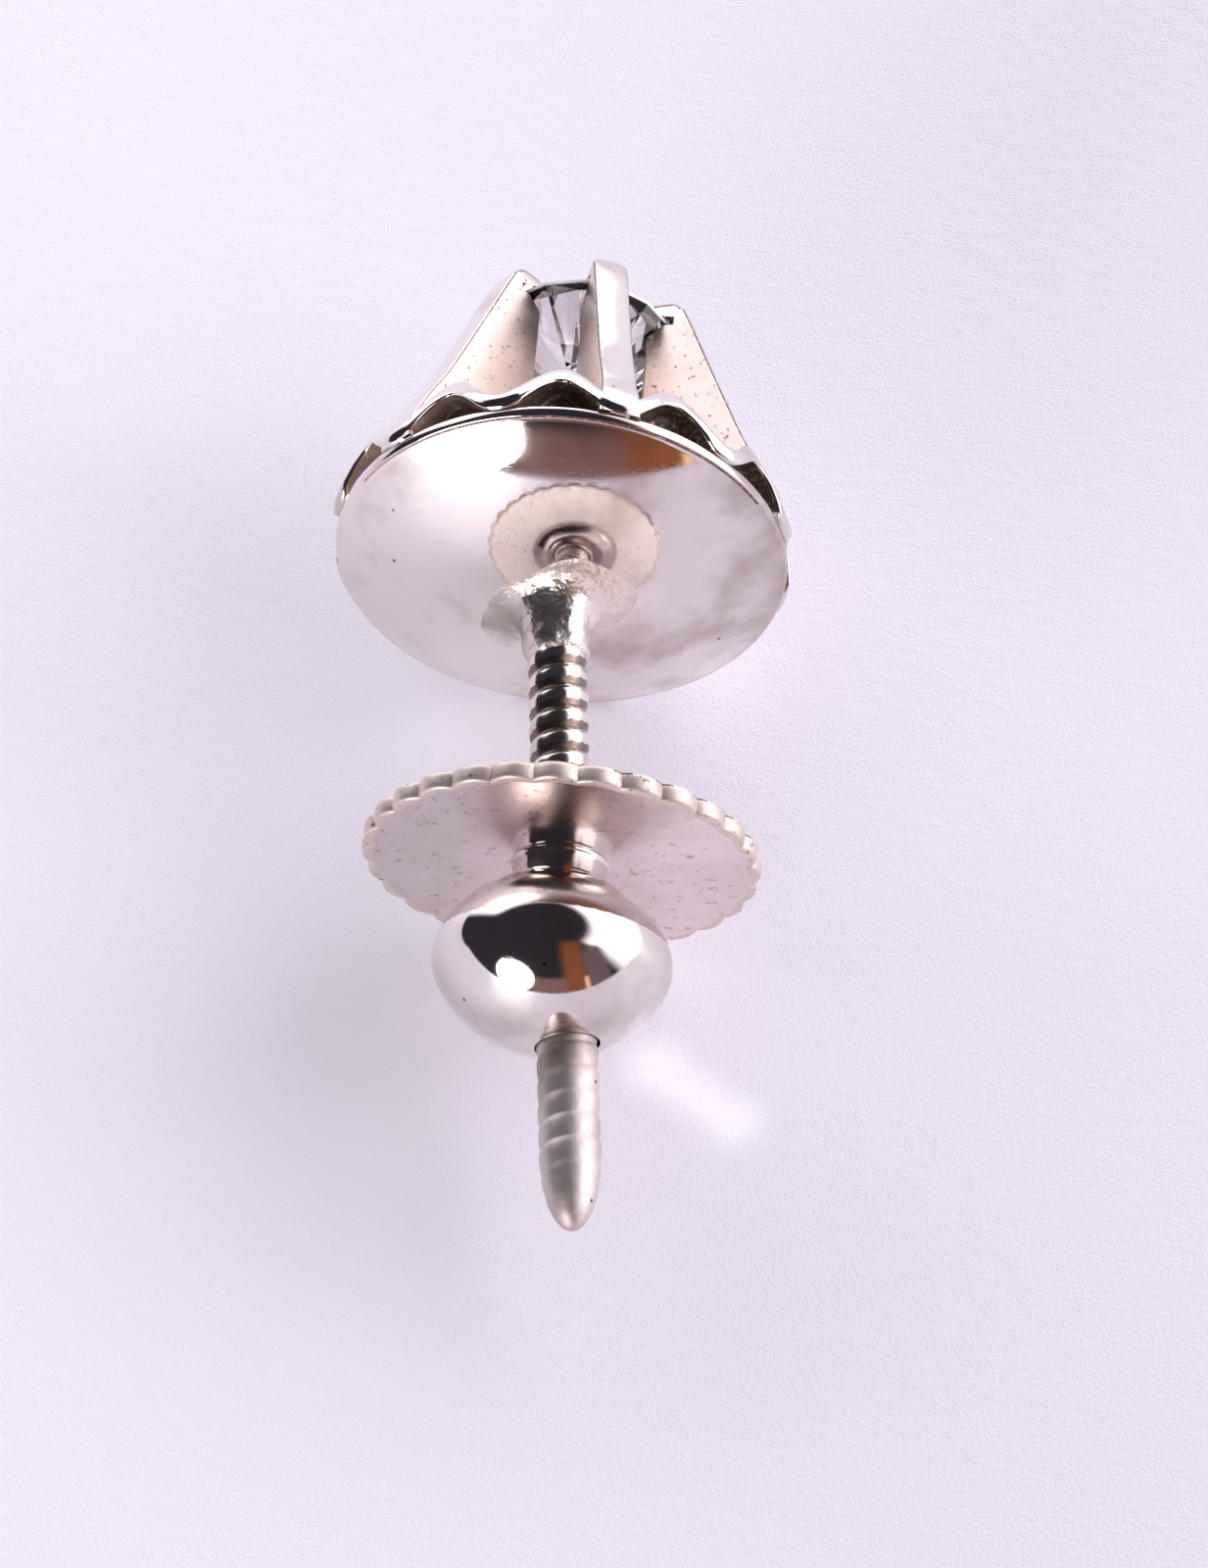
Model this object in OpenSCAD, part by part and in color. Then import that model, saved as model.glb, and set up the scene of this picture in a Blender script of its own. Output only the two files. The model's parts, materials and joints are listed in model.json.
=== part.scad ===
// Screw-back diamond stud: a round brilliant in a six-claw crown on a domed back plate,
// with a threaded ear post and a milled nut. It lies on its side on the crown's feet and
// the nut's edge, as it would by itself on a table.
//
// Each piece is drawn upright: the back plate's rim is at height 0, the crown is above it
// and the post runs down. lay_down() then puts the stud on its side, with the post towards
// -Y and the claws towards +Y. The post stands some degrees off square, so what is on it
// goes through along_post() first. The nut's disc and ball stand askew on their tube, so they
// go through askew() before that.

/* [Stone] */
// Diameter of the diamond across its girdle
stone_d = 3.2; // [3.1:0.05:3.3]
// Height of the girdle's middle above the plate's rim
girdle_h = 4.9; // [4.8:0.05:4.95]
// Width of the table as a share of the girdle's diameter
table_share = 0.56; // [0.52:0.01:0.62]
// Slope of the kite facets above the girdle, in degrees
crown_angle = 34; // [31:1:36]
// Slope of the main facets under the girdle, in degrees
pavilion_angle = 40.8; // [40:0.1:42]

/* [Back plate] */
// Radius of the plate at its rim
plate_r = 3.79; // [3.76:0.01:3.8]
// Radius of the sphere that the plate's polished back is part of
dome_r = 7; // [6.8:0.1:7.2]
// Thickness of the plate's metal
plate_t = 0.5; // [0.4:0.05:0.6]
// Height of the thin upright lip round the rim
lip_h = 0.14; // [0.1:0.01:0.16]

/* [Crown] */
// Radius of the wavy band at its widest, near its feet
foot_r = 3.9; // [3.88:0.01:3.94]
// Height of the band's top over the middle of each arch
band_h = 1.17; // [1.1:0.01:1.2]
// Height of the band's top between two arches
valley_h = 0.4; // [0.35:0.01:0.45]
// Height of each arch's underside above the rim
arch_h = 0.72; // [0.65:0.01:0.75]
// Height of the claws' rounded tips above the rim
claw_h = 5.43; // [5.4:0.01:5.55]
// Width of a claw
claw_w = 0.6; // [0.54:0.01:0.66]
// Distance of a claw's inner edge from the axis
claw_inner_r = 1.25; // [1.2:0.01:1.3]

/* [Ear post] */
// Diameter over the thread's crests
post_d = 1.0; // [0.98:0.01:1.0]
// Distance from one thread to the next
pitch = 0.4; // [0.35:0.05:0.4]
// Depth of the thread
thread_depth = 0.07; // [0.06:0.01:0.1]
// Distance from the plate's rim to the post's rounded end
post_l = 12.1; // [12:0.1:13]
// How far the post leans off square towards the table, in degrees
post_lean = 11; // [0:0.5:12]
// How far the post leans off square towards +X, in degrees
post_side = 5.5; // [0:0.5:6]

/* [Nut] */
// Distance from the plate's rim to the front of the nut's disc
nut_gap = 5.45; // [5.4:0.05:6.1]
// How far the disc and ball stand askew on the nut's tube towards -X, in degrees
nut_skew = 5.8; // [0:0.1:6]
// Radius of the disc over its milled teeth
disc_r = 3.26; // [3.15:0.01:3.3]
// Thickness of the disc
disc_t = 0.32; // [0.3:0.01:0.36]
// Number of teeth milled round the disc
teeth = 28; // [24:4:36]
// Radius of the low dome on the disc's front face
boss_r = 1.5; // [1.4:0.01:1.6]
// Height of that dome
boss_h = 0.75; // [0.7:0.01:0.8]
// Radius of the neck between disc and ball
neck_r = 0.78; // [0.77:0.01:0.82]
// Distance from the disc's back to the middle of the ball
ball_reach = 1.75; // [1.7:0.01:1.8]
// Radius of the flattened ball, across the post
ball_r = 1.95; // [1.9:0.01:2]
// Half the length of the ball, along the post
ball_half_l = 1.5; // [1.4:0.01:1.52]

/* [Hidden] */

arch_count = 12;
claw_count = 6;
// A claw's turn from the middle of the nearest arch
claw_offset = 15;

// Every true circle and arc
smooth = 96;

// The stone rests this far clear of the metal, in a notch cut in each claw
stone_gap = 0.03;
notch_depth = 0.12;
notch_half_h = 0.12;
girdle_t = 0.06;
stone_r = stone_d / 2;
crown_rise = stone_r * (1 - table_share) * tan(crown_angle);
pavilion_drop = stone_r * tan(pavilion_angle);

// The dome's sphere stands on the axis, and its edge meets the rim
dome_centre = sqrt(dome_r * dome_r - plate_r * plate_r);
dome_drop = dome_r - dome_centre;

// The band: steps round it, the outside's radius at each height, and the wall behind the
// arches, which closes them to shallow recesses
band_steps = 144;
band_side = [
    [0, plate_r + 0.02],
    [0.1, foot_r - 0.04],
    [0.25, foot_r],
    [0.5, foot_r - 0.05],
    [0.75, foot_r - 0.15],
    [1.25, foot_r - 0.36]
];
recess_r = foot_r - 0.52;
band_inner_r = recess_r - 0.26;
band_top_w = 0.36;
foot_h = 0.03;
sunk_h = -0.06;

// A claw from foot to tip: height, radius of the outer edge, of the inner edge, half width
claw_slices = [
    [0.12, foot_r - 0.05, foot_r - 0.5, 0.36],
    [0.4, foot_r - 0.06, foot_r - 0.72, 0.35],
    [0.7, foot_r - 0.16, foot_r - 1.35, claw_w / 2 + 0.02],
    [1.0, foot_r - 0.3, claw_inner_r + 0.4, claw_w / 2],
    [1.35, foot_r - 0.45, claw_inner_r, claw_w / 2],
    [2.0, foot_r - 0.77, claw_inner_r, claw_w / 2],
    [3.0, foot_r - 1.17, claw_inner_r, claw_w / 2],
    [4.0, foot_r - 1.56, claw_inner_r, claw_w / 2],
    [claw_h - 0.45, foot_r - 1.94, claw_inner_r, claw_w / 2],
    [claw_h - 0.25, foot_r - 2.06, claw_inner_r, claw_w / 2 - 0.02],
    [claw_h - 0.1, foot_r - 2.18, claw_inner_r + 0.03, claw_w / 2 - 0.08],
    [claw_h - 0.02, foot_r - 2.31, claw_inner_r + 0.1, claw_w / 2 - 0.17],
    [claw_h, foot_r - 2.42, claw_inner_r + 0.17, claw_w / 2 - 0.24]
];
claw_round = 0.09;

// Solder collar where the post joins the plate, as radius and distance below the rim
collar = [
    [0, 0.88],
    [0.8, 0.88],
    [0.8, 0.98],
    [0.71, 1.13],
    [0.64, 1.3],
    [0.61, 1.5],
    [0.6, 1.72],
    [0.55, 1.92],
    [0.43, 2.05],
    [0, 2.05]
];

// Thread: steps round a turn, and how far along a pitch its lines lie and how far out
turn_steps = 16;
flank = [0, 0.22, 0.42, 0.66];
flank_rise = [0, 0.85, 1, 0.85];
lines = len(flank);
crest_r = post_d / 2;
thread_from = 1.75;
nose_l = 1.3;
nose_from = post_l - nose_l;
nose_end = 86;
thread_turns = floor((nose_from - thread_from + nose_l * nose_end * PI / 180) / pitch) - 1;

// Running clearance of the bush on the post, and of the nut on the bush
running_gap = 0.02;
bush_wall = 0.1;
bush_bore_r = crest_r + running_gap;
bush_r = bush_bore_r + bush_wall;
nut_bore_r = bush_r + running_gap;
disc_back = nut_gap + disc_t;
ball_mid = disc_back + ball_reach;
tooth_depth = 0.12;
tooth_steps = 8;

// The ball's outline is an equator arc and a flatter cap arc that meet smoothly
equator_r = 0.85;
equator_at = ball_r - equator_r;
cap_r = (ball_half_l * ball_half_l + equator_at * equator_at - equator_r * equator_r)
    / (2 * (ball_half_l - equator_r));
join_angle = atan2(equator_at, cap_r - ball_half_l);

// The post leans about a point on the axis, near the dome's outer skin
lean_h = 1.1;

// Where the post points, and the disc's own directions: across, towards the table, and down
post_dir = [cos(post_lean) * sin(post_side), sin(post_lean), -cos(post_lean) * cos(post_side)];
disc_x = [
    cos(nut_skew) * cos(post_side) + sin(nut_skew) * cos(post_lean) * sin(post_side),
    sin(nut_skew) * sin(post_lean),
    cos(nut_skew) * sin(post_side) - sin(nut_skew) * cos(post_lean) * cos(post_side)
];
disc_y = [-sin(post_lean) * sin(post_side), cos(post_lean), sin(post_lean) * cos(post_side)];
disc_dir = cross(disc_y, disc_x);
back_middle = [0, 0, -lean_h] + (nut_gap - lean_h) * post_dir + disc_t * disc_dir;

// The stud lies on the band's lowest corners and on the back edge of the disc. As the stud
// tips, the lowest point of that edge moves, so the tilt is found in steps.
foot_low = max([for (i = [0 : band_steps - 1]) band_outline(i)[0][0] * sin(band_angle(i))]);
foot_low_h = 0.27;
function down(tilt) = [0, cos(tilt), -sin(tilt)];
function edge_low(tilt) =
    let (side = down(tilt) - (down(tilt) * disc_dir) * disc_dir) side / norm(side);
function settled(tilt, steps) =
    steps == 0 ? tilt :
    let (p = back_middle + disc_r * edge_low(tilt))
    settled(atan2(foot_low - p[1], foot_low_h - p[2]), steps - 1);
lean_down = settled(0, 5);
tooth_turn = atan2(edge_low(lean_down) * disc_x, edge_low(lean_down) * disc_y);
lift = max([
    for (i = [0 : band_steps - 1]) let (p = band_outline(i)[0])
        p[0] * sin(band_angle(i)) * cos(lean_down) - p[1] * sin(lean_down)
]);
post_along = cos(post_lean) * cos(post_side) * cos(lean_down) - sin(post_lean) * sin(lean_down);
tail_y = lean_h * cos(lean_down) + (post_l - lean_h) * post_along;
head_y = claw_h * cos(lean_down) + claw_inner_r * abs(sin(lean_down));
ahead = (tail_y - head_y) / 2;

// Turns an upright piece on its side, with the post towards -Y
module lay_down() {
    translate([0, ahead, lift]) rotate([lean_down - 90, 0, 0]) children();
}

// Leans a piece with the post
module along_post() {
    translate([0, 0, -lean_h]) rotate([post_lean, -post_side, 0]) translate([0, 0, lean_h]) children();
}

// Turns the nut's disc and ball askew on the post, about the middle of the disc's front
module askew() {
    translate([0, 0, -nut_gap]) rotate([0, nut_skew, 0]) translate([0, 0, nut_gap]) children();
}

// A solid of revolution from an outline of radius and height
module turned(outline) {
    rotate_extrude($fn = smooth) polygon(outline);
}

// Sides between the rings of a closed stack, with n points in each ring
function ring_sides(rings, n) = [
    for (k = [0 : rings - 2]) for (j = [0 : n - 1])
        let (a = k * n + j, b = k * n + (j + 1) % n)
        for (f = [[a, a + n, b + n], [a, b + n, b]]) f
];

function band_angle(i) = i * 360 / band_steps;

// The band's wave: 1 over the middle of an arch and 0 between two arches
function wave(i) = (1 + cos(arch_count * band_angle(i))) / 2;

// The band's section at step i as radius and height, from the outside's low corner
function band_outline(i) =
    let (
        low = foot_h + (arch_h - foot_h) * wave(i),
        high = valley_h + (band_h - valley_h) * wave(i),
        middle = (low + high) / 2
    )
    [
        [lookup(low, band_side), low],
        [lookup(middle, band_side) + 0.02, middle],
        [lookup(high, band_side), high],
        [lookup(high, band_side) - band_top_w, high - 0.05],
        [band_inner_r, sunk_h],
        [recess_r, sunk_h],
        [recess_r, low]
    ];

// The wavy band with its twelve arched recesses
module crown_band() {
    n = 7;
    points = [
        for (i = [0 : band_steps - 1]) for (p = band_outline(i))
            [p[0] * cos(band_angle(i)), p[0] * sin(band_angle(i)), p[1]]
    ];
    faces = [
        for (i = [0 : band_steps - 1]) for (j = [0 : n - 1])
            let (a = i * n + j, b = i * n + (j + 1) % n, k = ((i + 1) % band_steps - i) * n)
            for (f = [[a, b, b + k], [a, b + k, a + k]]) f
    ];
    polyhedron(points, faces, convexity = 10);
}

// A claw's section at a slice: a bar with eased corners, its long sides flat
function claw_ring(s) =
    let (c = min(claw_round, s[3] * 0.6), e = c / 2)
    [
        [s[1], c - s[3], s[0]],
        [s[1], s[3] - c, s[0]],
        [s[1] - c, s[3], s[0]],
        [s[2] + e, s[3], s[0]],
        [s[2], s[3] - e, s[0]],
        [s[2], e - s[3], s[0]],
        [s[2] + e, -s[3], s[0]],
        [s[1] - c, -s[3], s[0]]
    ];

module claw() {
    n = 8;
    rings = len(claw_slices);
    foot = [for (j = [1 : n - 2]) [0, j, j + 1]];
    top = (rings - 1) * n;
    tip = [for (j = [1 : n - 2]) [top, top + j + 1, top + j]];
    polyhedron(
        [for (s = claw_slices) each claw_ring(s)],
        concat(foot, tip, ring_sides(rings, n)),
        convexity = 4
    );
}

// What the stone fills, with the clearance round it and the notch at its girdle
module stone_seat() {
    half = girdle_t / 2;
    r = stone_r + stone_gap;
    turned([
        [0, girdle_h - half - stone_gap - r * tan(pavilion_angle)],
        [r - 0.06, girdle_h - half - stone_gap - 0.06 * tan(pavilion_angle)],
        [r + notch_depth, girdle_h - notch_half_h],
        [r + notch_depth, girdle_h + notch_half_h / 2],
        [r - 0.06, girdle_h + half + stone_gap + 0.06 * tan(crown_angle)],
        [r - r * (1 - table_share), girdle_h + half + stone_gap + crown_rise],
        [0, girdle_h + half + stone_gap + crown_rise]
    ]);
}

module claws() {
    difference() {
        for (i = [0 : claw_count - 1])
            rotate([0, 0, claw_offset - 90 + i * 360 / claw_count]) claw();
        stone_seat();
    }
}

// The domed plate with its lip, hollow towards the crown
module back_plate() {
    difference() {
        union() {
            intersection() {
                translate([0, 0, dome_centre]) sphere(r = dome_r, $fn = smooth);
                translate([0, 0, -dome_drop - 1])
                    cylinder(r = dome_r, h = dome_drop + 1, $fn = smooth);
            }
            cylinder(r = plate_r, h = lip_h, $fn = smooth);
        }
        translate([0, 0, dome_centre]) sphere(r = dome_r - plate_t, $fn = smooth);
    }
}

// How far the nose is turned in at a distance below the rim: 0 where it starts, 90 at its end
function nose_turn(z) = z <= nose_from ? 0 : (z - nose_from) / nose_l * 180 / PI;

// Point i of thread line m: line m rises along the helix as i goes round. Over the nose the
// turns draw together and the thread fades.
function thread_point(m, i) =
    let (
        z = thread_from + pitch * (floor(m / lines) + flank[m % lines] + i / turn_steps),
        t = min(nose_turn(z), nose_end),
        depth = thread_depth * max(0, 1 - t / 45),
        r = (crest_r - depth * (1 - flank_rise[m % lines])) * cos(t),
        a = 360 * i / turn_steps
    )
    [r * cos(a), -r * sin(a), -min(z, nose_from) - nose_l * sin(t)];

// A right-hand screw as one closed skin. The lines of points follow the helix, so the last
// column of a line joins the first column one turn on.
module threaded_post() {
    top = thread_turns * lines;
    n = turn_steps;
    points = concat(
        [for (m = [0 : top]) for (i = [0 : n - 1]) thread_point(m, i)],
        [[0, 0, -thread_from + 0.1], [0, 0, -post_l]]
    );
    start_hub = (top + 1) * n;
    end_hub = start_hub + 1;
    round_faces = [
        for (m = [0 : top - 1]) for (i = [0 : n - 2])
            for (f = [
                [m * n + i, (m + 1) * n + i, (m + 1) * n + i + 1],
                [m * n + i, (m + 1) * n + i + 1, m * n + i + 1]
            ]) f
    ];
    seam_faces = [
        for (m = [0 : top - lines - 1])
            let (
                a = m * n + n - 1,
                b = (m + 1) * n + n - 1,
                c = (m + 1 + lines) * n,
                d = (m + lines) * n
            )
            for (f = [[a, b, c], [a, c, d]]) f
    ];
    start_loop = concat([for (i = [0 : n - 1]) i], [for (k = [lines : -1 : 1]) k * n]);
    end_loop = concat(
        [for (i = [0 : n - 1]) top * n + i],
        [for (k = [1 : lines]) (top - k) * n + n - 1]
    );
    start_cap = [
        for (j = [0 : len(start_loop) - 1])
            [start_hub, start_loop[j], start_loop[(j + 1) % len(start_loop)]]
    ];
    end_cap = [
        for (j = [0 : len(end_loop) - 1])
            [end_hub, end_loop[(j + 1) % len(end_loop)], end_loop[j]]
    ];
    polyhedron(points, concat(round_faces, seam_faces, start_cap, end_cap), convexity = 10);
}

module setting() {
    color("gainsboro") lay_down() {
        back_plate();
        crown_band();
        claws();
        along_post() {
            turned([for (p = collar) [p[0], -p[1]]]);
            threaded_post();
        }
    }
}

// The brilliant's corners: the table's eight, the eight star points, both edges of the
// girdle, the eight points where the lower halves meet, and the point of the pavilion
module diamond() {
    half = girdle_t / 2;
    table_r = stone_r * table_share;
    star_r = (table_r * cos(22.5) + stone_r) / 2;
    star_h = half + (stone_r - star_r * cos(22.5)) * tan(crown_angle);
    lower_r = stone_r * 0.22;
    lower_h = -half - (stone_r - lower_r * cos(22.5)) * tan(pavilion_angle);
    corners = concat(
        [for (i = [0 : 7]) let (a = i * 45) [table_r * cos(a), table_r * sin(a), half + crown_rise]],
        [for (i = [0 : 7]) let (a = i * 45 + 22.5) [star_r * cos(a), star_r * sin(a), star_h]],
        [for (i = [0 : 15]) let (a = i * 22.5) [stone_r * cos(a), stone_r * sin(a), half]],
        [for (i = [0 : 15]) let (a = i * 22.5) [stone_r * cos(a), stone_r * sin(a), -half]],
        [for (i = [0 : 7]) let (a = i * 45 + 22.5) [lower_r * cos(a), lower_r * sin(a), lower_h]],
        [[0, 0, -half - pavilion_drop]]
    );
    color("lightcyan", 0.5) lay_down() translate([0, 0, girdle_h])
        hull() polyhedron(corners, [for (i = [0 : len(corners) - 3]) [i, i + 1, i + 2]]);
}

// The disc's outline: each tooth is a rounded hump, with the first one on the table
function disc_outline() = [
    for (i = [0 : teeth * tooth_steps - 1])
        let (
            a = 360 * i / (teeth * tooth_steps),
            r = disc_r - tooth_depth * (1 - cos(a * teeth)) / 2
        )
        [r * sin(a + tooth_turn), r * cos(a + tooth_turn)]
];

// The ball's outline as radius and distance from its middle, from one end to the other
function ball_outline() = concat(
    [for (i = [0 : 5]) let (a = join_angle * i / 6)
        [cap_r * sin(a), cap_r * cos(a) - cap_r + ball_half_l]],
    [for (i = [0 : 10]) let (a = join_angle + (180 - 2 * join_angle) * i / 10)
        [equator_at + equator_r * sin(a), equator_r * cos(a)]],
    [for (i = [5 : -1 : 0]) let (a = join_angle * i / 6)
        [cap_r * sin(a), cap_r - ball_half_l - cap_r * cos(a)]]
);

module nut() {
    boss_top_r = nut_bore_r + 0.12;
    boss = concat(
        [[0, 0]],
        [for (i = [0 : 8]) let (a = 90 * i / 8)
            [boss_top_r + (boss_r - boss_top_r) * cos(a), boss_h * sin(a)]],
        [[0, boss_h]]
    );
    color("silver") lay_down() along_post() difference() {
        askew() {
            translate([0, 0, -disc_back]) linear_extrude(height = disc_t) polygon(disc_outline());
            translate([0, 0, -nut_gap - 0.01]) turned(boss);
            translate([0, 0, -ball_mid]) cylinder(r = neck_r, h = ball_reach + 0.1, $fn = smooth);
            translate([0, 0, -ball_mid]) turned(ball_outline());
        }
        translate([0, 0, -ball_mid - 3]) cylinder(r = nut_bore_r, h = 9, $fn = smooth);
    }
}

// The thin tapped tube that lines the nut's hole and ends inside the ball. Its own bore is
// drawn plain.
module nut_bush() {
    front = nut_gap - boss_h - 0.04;
    back = ball_mid + ball_half_l - 0.35;
    color("silver") lay_down() along_post() translate([0, 0, -back]) difference() {
        cylinder(r = bush_r, h = back - front, $fn = smooth);
        translate([0, 0, -1]) cylinder(r = bush_bore_r, h = back - front + 2, $fn = smooth);
    }
}

setting();
diamond();
nut();
nut_bush();
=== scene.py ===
import json
import math

import bmesh
import bpy
import numpy as np
from mathutils import Matrix, Vector


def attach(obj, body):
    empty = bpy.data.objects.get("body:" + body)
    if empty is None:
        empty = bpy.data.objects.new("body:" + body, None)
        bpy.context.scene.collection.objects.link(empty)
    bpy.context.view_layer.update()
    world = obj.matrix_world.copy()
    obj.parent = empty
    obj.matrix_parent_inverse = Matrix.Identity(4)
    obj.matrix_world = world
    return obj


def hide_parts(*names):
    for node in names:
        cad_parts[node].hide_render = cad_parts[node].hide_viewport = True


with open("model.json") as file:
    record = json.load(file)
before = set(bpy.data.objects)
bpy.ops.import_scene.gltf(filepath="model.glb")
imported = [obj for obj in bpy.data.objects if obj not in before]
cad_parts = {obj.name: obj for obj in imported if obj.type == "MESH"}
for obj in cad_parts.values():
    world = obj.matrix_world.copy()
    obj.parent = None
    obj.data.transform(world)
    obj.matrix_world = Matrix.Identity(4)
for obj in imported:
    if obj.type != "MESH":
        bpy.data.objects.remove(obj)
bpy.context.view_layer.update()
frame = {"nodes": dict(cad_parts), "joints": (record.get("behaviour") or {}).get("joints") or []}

# How the stud lies
# It lies on its side, on the crown's feet and the nut's edge. The crown's axis is read from the
# stone and the ear post's from the nut's joint. Each piece is drawn upright on one of them, with
# the claws up, in millimetres from the back plate's rim. The nut has an axis of its own, askew.
MM = 0.001
GIRDLE_H = 4.9
DISC_BELOW_RIM = 5.45
POST_SIDE = 5.5
NUT_SKEW = 5.8


def upright(x, z, origin):
    """The matrix that takes a piece drawn upright in millimetres to its place in metres."""
    turn = Matrix((x, z.cross(x), z)).transposed()
    return Matrix.LocRotScale(origin, turn.to_quaternion(), Vector((MM, MM, MM)))


stone_corners = [Vector(c) for c in sorted({tuple(v.co) for v in frame["nodes"]["diamond"].data.vertices})]
stone_point = min(stone_corners, key=lambda c: c.y)
crown_up = (sum(stone_corners, Vector()) / len(stone_corners) - stone_point).normalized()


def off_axis(corner):
    """How far this corner of the stone is from its axis."""
    reach = corner - stone_point
    return (reach - crown_up * reach.dot(crown_up)).length


widest = max(off_axis(c) for c in stone_corners)
girdle_corners = [c for c in stone_corners if off_axis(c) > 0.99 * widest]
girdle_middle = sum(girdle_corners, Vector()) / len(girdle_corners)
rim_middle = girdle_middle - crown_up * GIRDLE_H * MM
crown_place = upright(Vector((1, 0, 0)), crown_up, rim_middle)

nut_joint = next(j for j in frame["joints"] if j["name"] == "nut_turn")
post_up = -Vector(nut_joint["axis"]).normalized()
crown_back = crown_up.cross(Vector((1, 0, 0)))
disc_front = Vector(nut_joint["pos_m"])
post_start = disc_front + post_up * DISC_BELOW_RIM * MM
post_place = upright(crown_back.cross(post_up).normalized(), post_up, post_start)

post_side = math.radians(POST_SIDE)
skew = math.radians(NUT_SKEW)
post_across = crown_place.to_3x3().normalized() @ Vector((math.cos(post_side), 0, math.sin(post_side)))
nut_up = (post_up * math.cos(skew) + post_across * math.sin(skew)).normalized()
lowest_way = (nut_up * nut_up.z - Vector((0, 0, 1))).normalized()
nut_place = upright(lowest_way.cross(nut_up), nut_up, disc_front + nut_up * DISC_BELOW_RIM * MM)

# The camera
# It looks along the ear post from behind and above, as a macro lens does from nine centimetres
# away, so the back plate and the ball stand over one another.
ELEVATION = 53.1
AZIMUTH = 5.4
ROLL = -1.45
DISTANCE = 0.09
PHOTO_SIZE = (1233, 1600)
FOCAL_PIXELS = 5481
RIM_PIXEL = (572.6, 573.1)
SENSOR = 36


def toward(azimuth, elevation):
    """The direction this far to the right of the camera's side and at this elevation, in degrees."""
    a, e = math.radians(azimuth + AZIMUTH), math.radians(elevation)
    return Vector((math.sin(a) * math.cos(e), -math.cos(a) * math.cos(e), math.sin(e)))


roll = math.radians(ROLL)
straight = -toward(0, ELEVATION)
level = straight.cross(Vector((0, 0, 1))).normalized()
across = math.cos(roll) * level + math.sin(roll) * level.cross(straight)
upward = math.cos(roll) * level.cross(straight) - math.sin(roll) * level
off_x = (RIM_PIXEL[0] - PHOTO_SIZE[0] / 2) / FOCAL_PIXELS
off_y = (PHOTO_SIZE[1] / 2 - RIM_PIXEL[1]) / FOCAL_PIXELS
line = (straight - off_x * across - off_y * upward).normalized()
across = (across - across.dot(line) * line).normalized()
lens = bpy.data.cameras.new("camera")
lens.sensor_width = SENSOR
lens.lens = FOCAL_PIXELS * SENSOR / PHOTO_SIZE[1]
lens.clip_start = 0.001
lens.clip_end = 10
camera = bpy.data.objects.new("camera", lens)
camera_turn = Matrix((across, across.cross(line), -line)).transposed().to_quaternion()
camera.matrix_world = Matrix.LocRotScale(rim_middle - straight * DISTANCE, camera_turn, None)
bpy.context.scene.collection.objects.link(camera)
bpy.context.scene.camera = camera
bpy.context.scene.view_settings.view_transform = "Standard"


# The table
# A plain pale lilac board with a fine pressed grain, under the stud and far past it. A painted
# glow lightens its shadows, and painted spots of light stand in for the window's light the nut throws on
# it.
BOARD_HALF = 1.5
BOARD_COLOUR = "F2ECF9"
# A painted glow that lightens the shadows on the board
BOARD_GLOW = 0.24
# Middles on the board in millimetres, radius and strength of the painted spots of light that the nut throws
THROWN_LIGHT = [((2.05, -4.2), 0.9, 0.24), ((2.75, -4.7), 0.8, 0.2), ((3.4, -5.15), 0.8, 0.22)]
# The board's painted glow is a little stronger to the left: from the middle to this far, it changes so much
SIDE_REACH = 9
SIDE_GLOW = 0.05
BOARD_FIBRE = 0.25
BOARD_GRAIN = 0.06
BOARD_RELIEF = 0.015


def linear(colour):
    """An sRGB hex colour as the linear red, green, blue and alpha that a node takes."""
    parts = [int(colour[i:i + 2], 16) / 255 for i in (0, 2, 4)]
    return (*[p / 12.92 if p <= 0.04045 else ((p + 0.055) / 1.055) ** 2.4 for p in parts], 1.0)


def add(tree, kind, inputs=(), **settings):
    """Adds a node with its settings. Its inputs are values or the outputs that feed them."""
    made = tree.nodes.new("ShaderNode" + kind)
    for name, value in settings.items():
        setattr(made, name, value)
    for name, value in dict(inputs).items():
        if isinstance(value, bpy.types.NodeSocket):
            tree.links.new(value, made.inputs[name])
        else:
            made.inputs[name].default_value = value
    return made


def new_material(name):
    """An empty material, its node tree, and millimetres in the part's frame as texture coordinates."""
    material = bpy.data.materials.new(name)
    material.use_nodes = True
    tree = material.node_tree
    tree.nodes.clear()
    place = add(tree, "TexCoord").outputs["Object"]
    scaled = add(tree, "VectorMath", {0: place, "Scale": 1 / MM}, operation="SCALE")
    return material, tree, scaled.outputs[0]


def finish_material(tree, **inputs):
    """Ends a material in the principled shader with these inputs."""
    named = {key.replace("_", " "): value for key, value in inputs.items()}
    shader = add(tree, "BsdfPrincipled", named)
    add(tree, "OutputMaterial", {"Surface": shader.outputs[0]})


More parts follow.
